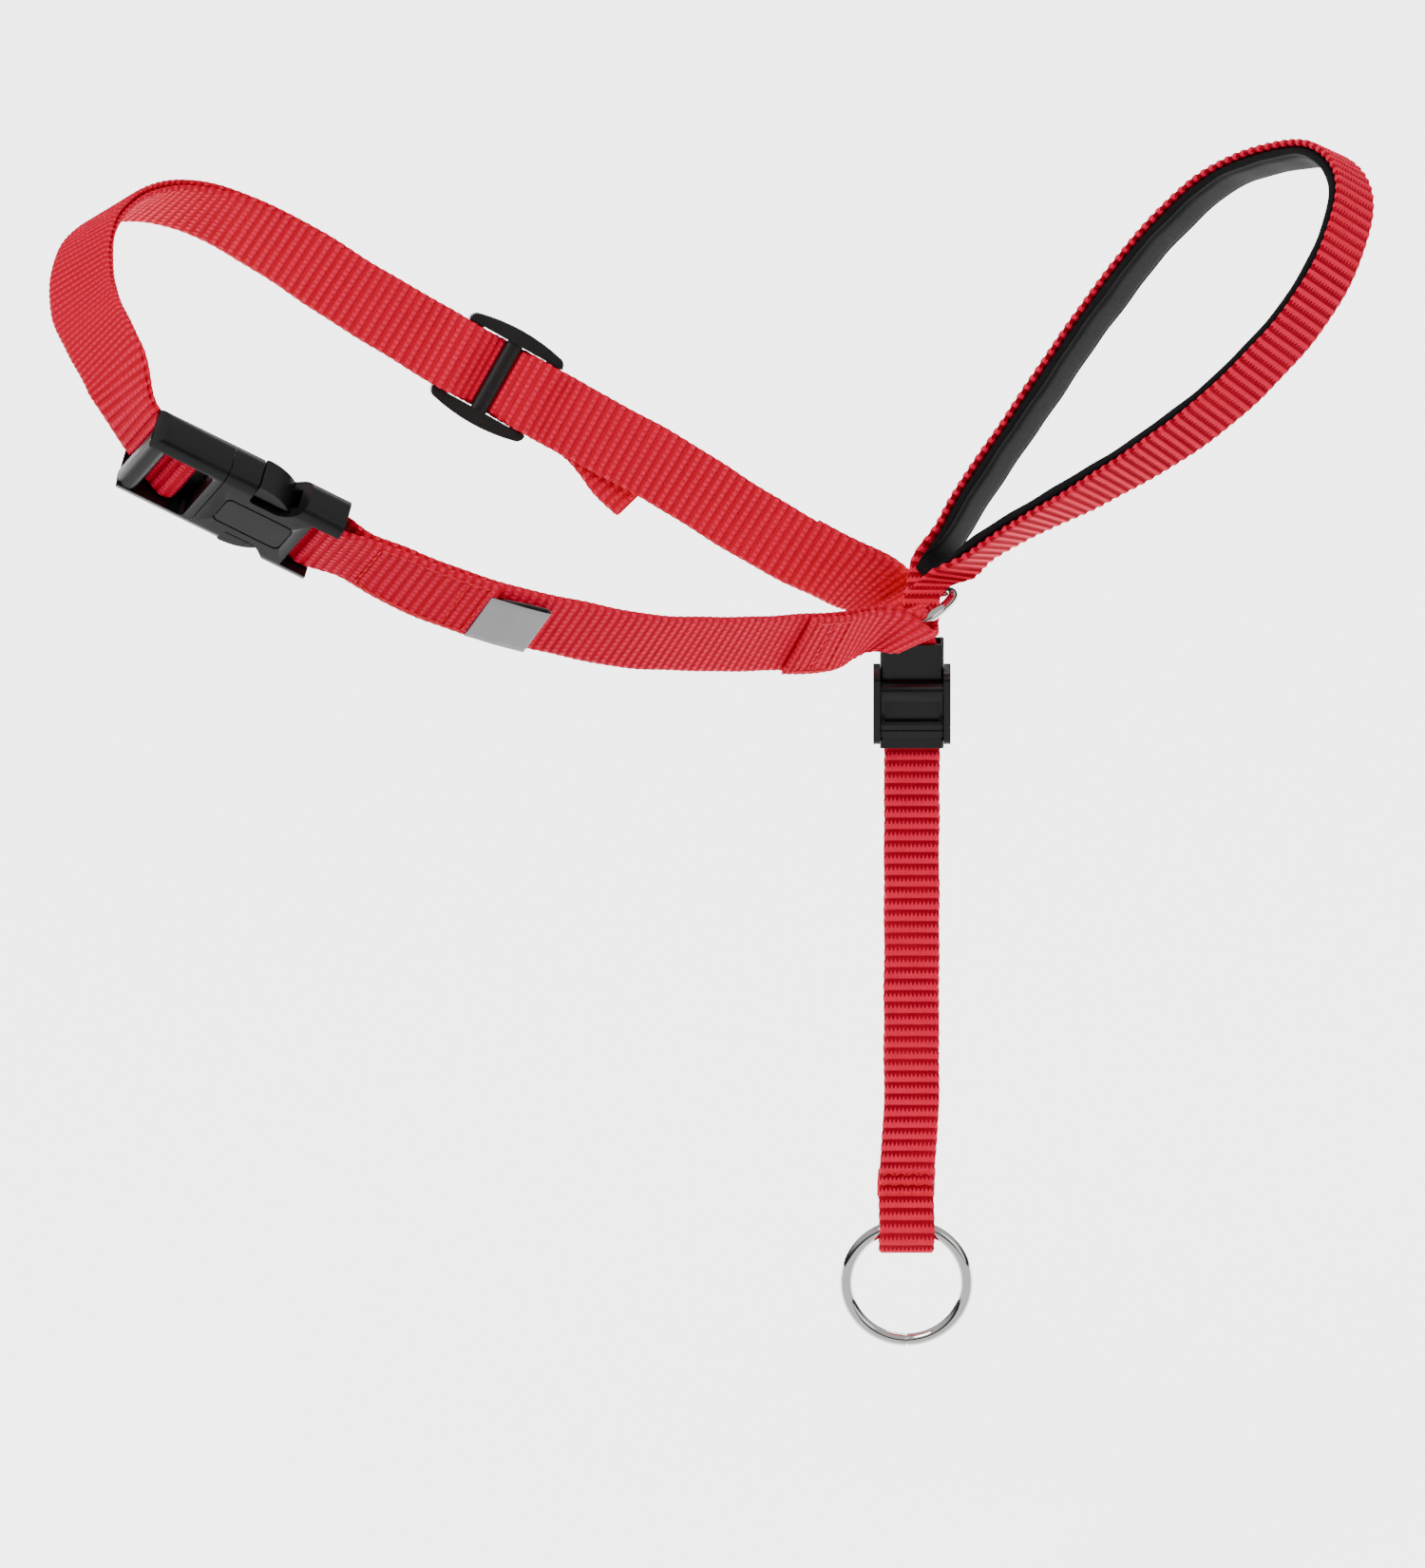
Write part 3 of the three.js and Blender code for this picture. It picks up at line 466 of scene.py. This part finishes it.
# Rows stand up as ribs: thickness = rest * (1 + height * (crest - 0.7)), where crest is a flattened cosine
# along the strap. Over the sewn stretch the ribs are pressed flatter and the strap spreads a little.
def makeStrap(name, node, look, material, body):
    track = Track(node, look["step"])
    section = webbingSection(look["columns"], look["edge"])
    along = track.s * 1000
    crest = smooth((0.5 + 0.5 * np.cos(2 * np.pi * along / look["row"])) * 1.5 - 0.2)[:, None]
    low, high = look["sewn"]
    sewn = (smooth((along - low) / 1.5) * smooth((high - along) / 1.5))[:, None]
    crest = crest * (1 - 0.6 * sewn) + 0.3 * sewn
    depth = track.up[:, None] * section[:, 1] * (1 + look["ribHeight"] * (crest - 0.7))
    side = track.half[:, None] * section[:, 0] * (1 + look["scallop"] * (crest - 0.5) + 0.05 * sewn)
    wander = 0.00012 * np.sin(along / 7.3) + 0.00008 * np.sin(along / 3.1 + 1.7)
    points = track.middle[:, None] + track.across[:, None] * (side + wander[:, None])[..., None]
    points = points + track.normal[:, None] * depth[..., None]
    rings, count = points.shape[:2]
    made = makePiece(
        name,
        points.reshape(-1, 3),
        gridFaces(rings, count),
        material,
        along=np.repeat(along / look["row"], count),
        across=(side * 1000).ravel(),
    )
    fixNormals(made)
    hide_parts(node)
    if body:
        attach(made, body)
    return made, track


def fixNormals(obj):
    work = bmesh.new()
    work.from_mesh(obj.data)
    if work.calc_volume(signed=True) < 0:
        bmesh.ops.reverse_faces(work, faces=work.faces)
        work.to_mesh(obj.data)
    work.free()


neckStrap = {
    "step": 0.00055,
    "columns": 19,
    "edge": 0.1,
    "row": 2.7,
    "ribHeight": 0.28,
    "scallop": 0.014,
    "sewn": (0, 0),
    "held": "folded",
    "rests": ["neck_ring"],
}
noseStrap = {
    "step": 0.0004,
    "columns": 25,
    "edge": 0.12,
    "row": 2.9,
    "ribHeight": 0.38,
    "scallop": 0.02,
    "sewn": (0, 0),
    "held": "folded",
    "rests": ["neck_ring"],
}
controlStrap = {**noseStrap, "row": 3.3, "ribHeight": 0.42, "sewn": (159, 169)}

makeCamera()
makeStage()
print("camera and stage made")

neckCloth = makeWebbing("neck_webbing", neckLook)
noseCloth = makeWebbing("nose_webbing", noseLook)
thread = makeThread((0.7, 0.004, 0.014))
_, fixedTrack = makeStrap(
    "webbing_fixed", "neck_strap_fixed", neckStrap, neckCloth, "halter"
)
loose, looseTrack = makeStrap(
    "webbing_adjustable", "neck_strap_adjustable", neckStrap, neckCloth, None
)
_, noseTrack = makeStrap("webbing_nose", "nose_strap", noseStrap, noseCloth, "halter")
control, controlTrack = makeStrap(
    "webbing_control", "control_strap", controlStrap, noseCloth, None
)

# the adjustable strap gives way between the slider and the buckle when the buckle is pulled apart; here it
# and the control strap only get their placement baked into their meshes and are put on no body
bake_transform(loose)
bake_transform(control)
print("straps made")


liningPad = {
    "start": 9.5,  # mm from the ring
    "full": 30.0,  # mm from the ring to full size
    "endWidth": 7.5,
    "width": 14.4,
    "endThick": 1.6,
    "thick": 3.1,
    "gap": 0.15,
    "columns": 40,
}


# A soft flat tube on the inner face of the loop: half width and half thickness grow away from the ring, the
# face swells between two sewn edges, and slow waves along it stand for the give of the padding.
def makeLiningPad():
    look, track = liningPad, noseTrack
    total = track.s[-1] * 1000
    s = np.arange(look["start"], total - look["start"], 0.8)
    grow = smooth((np.minimum(s, total - s) - look["start"]) / (look["full"] - look["start"]))
    wide = (look["endWidth"] + (look["width"] - look["endWidth"]) * grow) / 2
    thick = (look["endThick"] + (look["thick"] - look["endThick"]) * grow) / 2
    thick = thick * (1 + 0.05 * np.sin(s / 5.1) + 0.035 * np.sin(s / 2.3 + 1))
    tip = smooth((np.minimum(s, total - s) - look["start"]) / 2.5) * 0.7 + 0.3
    t = np.linspace(0, 2 * np.pi, look["columns"], endpoint=False)
    x = np.sign(np.cos(t)) * np.abs(np.cos(t)) ** 0.55
    y = np.sign(np.sin(t)) * np.abs(np.sin(t)) ** 0.5
    sewn = 1 - 0.3 * np.exp(-(((np.abs(x) - 0.8) / 0.07) ** 2))
    y = y * np.where(y > 0, sewn * (1.04 - 0.1 * x**2), 1.0)
    x = (x * (wide * tip)[:, None]).ravel()
    inward = np.sign(((noseMiddle() - track.middle) * track.normal).sum(1).mean())
    lift = noseStrapHalf * 1000 + look["gap"] + thick
    h = (lift[:, None] + y * (thick * tip)[:, None]).ravel() * inward
    points = track.at(np.repeat(s, len(t)) / 1000, x / 1000, h / 1000)
    made = makePiece("nose_padding", points, gridFaces(len(s), len(t)), liningCloth)
    fixNormals(made)
    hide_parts("nose_lining")
    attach(made, "halter")
    place = np.array([s[0], s[-1]]) / 1000
    return track.at(place, np.zeros(2), np.full(2, inward * lift[0] / 1000))


def noseMiddle():
    low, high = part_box("nose_strap")
    return (np.array(low) + np.array(high)) / 2


# A gathered knot: a few lumps, each a ball whose radius ripples with its two angles.
def makeTuft(name, place, size, body, material, seed):
    draw = np.random.default_rng(seed)
    around = np.linspace(0, 2 * np.pi, 20, endpoint=False)
    lat, lon = np.meshgrid(np.linspace(0, np.pi, 14), around, indexing="ij")
    ball = np.stack([np.sin(lat) * np.cos(lon), np.sin(lat) * np.sin(lon), np.cos(lat)], -1)
    points, faces = [], []
    for lump in range(4):
        radius = size * draw.uniform(0.55, 0.85) * (1 + 0.12 * np.sin(4 * lon + lump) * np.sin(3 * lat))
        shift = draw.normal(size=3) * size * 0.45
        points.append((place + shift + ball * radius[..., None])[1:-1].reshape(-1, 3))
        faces += [[i + lump * 240 for i in face] for face in gridFaces(12, 20)]
    made = makePiece(name, np.concatenate(points), faces, material)
    fixNormals(made)
    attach(made, body)
    return made


liningCloth = makeLiningCloth()
noseStrapHalf = float(np.median(noseTrack.up))
liningEnds = makeLiningPad()
makeTuft("lining_tuft", min(liningEnds, key=lambda p: p[0]), 0.0016, "halter", liningCloth, 4)
print("lining made")


# Each stitch is a short spindle of thread: radius = r * sin of the way along it, lying on the webbing's face.
def makeStitches(name, track, runs, body, pitch=2.4, gap=0.5, radius=0.26, sink=0.1):
    places, aims, lifts = [], [], []
    for side, start, end in runs:
        a, b = np.array(start, float), np.array(end, float)
        count = max(int(np.linalg.norm(b - a) / pitch), 1)
        t = (np.arange(count) + 0.5) / count
        half = (b - a) / count / 2 * (1 - gap / pitch)
        mid = a + (b - a) * t[:, None]
        for sign, bag in ((-1, places), (1, aims)):
            q = mid + half * sign
            up = np.interp(q[:, 0] / 1000, track.s, track.up) * side
            bag.append(track.at(q[:, 0] / 1000, q[:, 1] / 1000, up + side * (radius - sink) / 1000))
        along, across = mid.T / 1000
        foot = track.at(along, across, np.zeros(count))
        lifts.append(unit(track.at(along, across, np.full(count, side * 1.0)) - foot))
    a, b, up = np.concatenate(places), np.concatenate(aims), np.concatenate(lifts)
    ahead = unit(b - a)
    right = np.cross(ahead, up)
    t = np.linspace(0.04, 0.96, 7)
    turn = np.linspace(0, 2 * np.pi, 6, endpoint=False)
    swell = radius / 1000 * np.sin(np.pi * t) ** 0.4
    rod = a[:, None] + (b - a)[:, None] * t[None, :, None]
    circle = right[:, None, None] * np.cos(turn)[:, None] + up[:, None, None] * np.sin(turn)[:, None]
    points = rod[:, :, None] + circle * swell[None, :, None, None]
    faces = []
    base = gridFaces(7, 6)
    for i in range(len(a)):
        faces += [[v + i * 42 for v in face] for face in base]
    made = makePiece(name, points.reshape(-1, 3), faces, thread)
    fixNormals(made)
    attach(made, body)
    return made


# A hem is a stretch of strap that lies on the next one, so its outer side is the one away from that.
def outerSide(track, s, partner):
    here, there = (track.at(np.array([v]) / 1000, np.zeros(1), np.zeros(1))[0] for v in (s, partner))
    k = np.searchsorted(track.s, s / 1000)
    return float(np.sign((here - there) @ track.normal[k]))


hems = {"ring": 52.0, "buckle": 54.0, "farRing": 46.0, "turn": 12.0}


def strapHem(track, hem, fromEnd, rows, half=8.3):
    total = float(track.s[-1]) * 1000
    place = [total - r if fromEnd else r for r in rows]
    partner = total - (2 * hem + hems["turn"] - rows[0]) if fromEnd else 2 * hem + hems["turn"] - rows[0]
    side = outerSide(track, place[0], partner)
    runs = [(side, (p, -half), (p, half)) for p in place]
    return runs + [(side, (place[0], e), (place[-1], e)) for e in (-half, half)]


fixedRuns = strapHem(fixedTrack, hems["ring"], False, (2.5, 9, 15.5)) + strapHem(
    fixedTrack, hems["buckle"], True, (3, 9.5, 16, 36)
)
makeStitches("stitches_fixed", fixedTrack, fixedRuns, "halter")
makeStitches("stitches_far", looseTrack, strapHem(looseTrack, hems["farRing"], False, (3, 9, 15)), "halter")

# Three rows of zigzag close the fold of the control strap above the lead ring, on the layer in front.
controlStitch = {"top": 160.3, "rows": 3, "pitch": 3.1, "zigzag": 1.1, "half": 6.6, "steps": 9}


def zigzagRuns(track):
    look = controlStitch
    runs = []
    for row in range(look["rows"]):
        s = look["top"] + row * look["pitch"]
        if np.interp(s / 1000, track.s, track.middle[:, 1]) > 0:
            s = float(track.s[-1]) * 1000 - s
        side = float(np.sign(-np.interp(s / 1000, track.s, track.normal[:, 1])))
        x = np.linspace(-look["half"], look["half"], look["steps"])
        z = s + look["zigzag"] / 2 * np.where(np.arange(look["steps"]) % 2, 1, -1)
        runs += [(side, (z[i], x[i]), (z[i + 1], x[i + 1])) for i in range(look["steps"] - 1)]
    return runs


controlRuns = zigzagRuns(controlTrack)
makeStitches("stitches_control", controlTrack, controlRuns, "control", pitch=1.6, gap=0.1, sink=0.0)
print("stitching made")


# A moulded piece is the CAD shape with softened edges.
def makeSoftened(name, node, material, width, body, angle=30):
    mesh = nodes[node].data.copy()
    mesh.name = name
    work = bmesh.new()
    work.from_mesh(mesh)
    bmesh.ops.remove_doubles(work, verts=work.verts, dist=2e-6)
    bmesh.ops.dissolve_limit(work, angle_limit=math.radians(1), verts=work.verts, edges=work.edges)
    for face in work.faces:
        face.smooth = True
    work.to_mesh(mesh)
    work.free()
    mesh.materials.clear()
    mesh.materials.append(material)
    made = bpy.data.objects.new(name, mesh)
    bpy.context.collection.objects.link(made)
    mesh.set_sharp_from_angle(angle=math.radians(angle))
    bevel = made.modifiers.new("soft_edges", "BEVEL")
    bevel.width = width
    bevel.segments = 2
    bevel.limit_method = "ANGLE"
    bevel.angle_limit = math.radians(angle)
    bevel.harden_normals = True
    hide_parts(node)
    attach(made, body)
    return made


plastic = makePlastic("black_plastic", (0.0035, 0.0035, 0.0042), 0.3)
greyPlastic = makePlastic("slider_plastic", (0.012, 0.0118, 0.0118), 0.36)
for name, node, body, width, finish in (
    ("buckle_male", "buckle_male_frame", "buckle_plug", 0.00035, plastic),
    ("buckle_socket", "buckle_female", "halter", 0.0002, plastic),
    ("snap_arm_upper", "buckle_arm_upper", "arm_upper", 0.0004, plastic),
    ("snap_arm_lower", "buckle_arm_lower", "arm_lower", 0.0004, plastic),
    ("slider", "strap_slider", "slider", 0.00025, greyPlastic),
    ("clamp_body", "clamp_sleeve", "clamp", 0.0003, plastic),
    ("clamp_cam", "clamp_lever", "lever", 0.0002, plastic),
):
    makeSoftened(name, node, finish, width, body)
print("plastic made")


# A ring of wire: a circle carried round a circle, pinched at one place where its two ends butt together.
def makeRing(name, node, body, seamTowards, material):
    co = np.empty(len(nodes[node].data.vertices) * 3, np.float32)
    nodes[node].data.vertices.foreach_get("co", co)
    co = np.unique(np.round(co.reshape(-1, 3).astype(float), 7), axis=0)
    centre = (co.max(0) + co.min(0)) / 2 if node == "lead_ring" else co.mean(0)
    axes = np.linalg.svd(co - centre, full_matrices=False)[2]
    reach = np.linalg.norm((co - centre) @ axes[:2].T, axis=1)
    radius, wire = (reach.max() + reach.min()) / 2, (reach.max() - reach.min()) / 2
    first = unit(axes[0] * (axes[0] @ seamTowards) + axes[1] * (axes[1] @ seamTowards))
    second, axis = np.cross(axes[2], first), axes[2]
    around = np.concatenate([np.linspace(-0.06, 0.06, 25), np.linspace(0.06, 2 * np.pi - 0.06, 121)[1:-1]])
    turn = np.linspace(0, 2 * np.pi, 28, endpoint=False)
    seam = np.exp(-((np.where(around > np.pi, around - 2 * np.pi, around) / 0.011) ** 2))
    section = wire * (1 - 0.3 * seam)
    step = wire * 0.12 * np.where((around > 0) & (around < 0.06), 1 - around / 0.06, 0)
    out = first * np.cos(around)[:, None] + second * np.sin(around)[:, None]
    level = out[:, None] * (radius + step[:, None] + section[:, None] * np.cos(turn))[..., None]
    points = centre + level + axis * (section[:, None] * np.sin(turn))[..., None]
    made = makePiece(name, points.reshape(-1, 3), gridFaces(len(around), len(turn), True), material)
    fixNormals(made)
    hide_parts(node)
    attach(made, body)
    return made


nickel = makeNickel()
makeRing("neck_ring_plated", "neck_ring", "ring", np.array([-0.3, 0.9, 0.0]), nickel)
makeRing("lead_ring_plated", "lead_ring", "lead_loop", np.array([0.0, 0.0, -1.0]), nickel)
print("rings made")


label = {"root": 7.5, "length": 14.5, "width": 15.0, "shift": -1.8, "bow": 0.9, "cloth": 0.22, "under": 4.0}


# A ribbon folded in half: its path runs out from under the hem, turns round, and runs back below itself.
def makeLabel():
    centre = np.array(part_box("size_label")).mean(0)
    near = np.linalg.norm(fixedTrack.middle - centre, axis=1).argmin()
    across, normal = fixedTrack.across[near], fixedTrack.normal[near]
    normal = normal * np.sign((centre - fixedTrack.middle[near]) @ normal)
    ahead = np.cross(across, normal)
    ahead = ahead * np.sign(ahead @ (centre - np.array(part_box("buckle_female")).mean(0)))
    root = centre - ahead * label["root"] / 1000
    run, bow = label["length"], label["bow"]
    t = np.linspace(0, 1, 30)
    turn = np.linspace(np.pi / 2, -np.pi / 2, 14)[1:-1]
    u = np.concatenate([run * t - label["under"] * (1 - t), run + bow * 0.7 * np.cos(turn), (run * t)[::-1]])
    rise = 0.35 + 0.65 * smooth(t * 1.6)
    lift = bow * np.concatenate([rise, np.sin(turn), -rise[::-1]])
    path = root + ahead * u[:, None] / 1000 + normal * (lift + 0.35)[:, None] / 1000
    tangent = unit(np.gradient(path, axis=0))
    skin = np.cross(across, tangent) * label["cloth"] / 2000
    skin = skin * np.sign((skin[5] @ normal))
    x = (np.linspace(-0.5, 0.5, 9) * label["width"] + label["shift"]) / 1000
    outer = path[:, None] + across * x[None, :, None] + skin[:, None]
    inner = path[:, None] + across * x[None, ::-1, None] - skin[:, None]
    points = np.concatenate([outer, inner], axis=1)
    rings, count = points.shape[:2]
    inside = np.tile(np.repeat([0.0, 1.0], 9), rings)
    numbers = np.tile(np.concatenate([x, x[::-1]]) * 1000, rings)
    faces = gridFaces(rings, count)
    made = makePiece("label_ribbon", points.reshape(-1, 3), faces, satin, across=numbers, inside=inside)
    fixNormals(made)
    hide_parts("size_label")
    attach(made, "halter")


satin = makeSatin()
makeLabel()
print("label made")
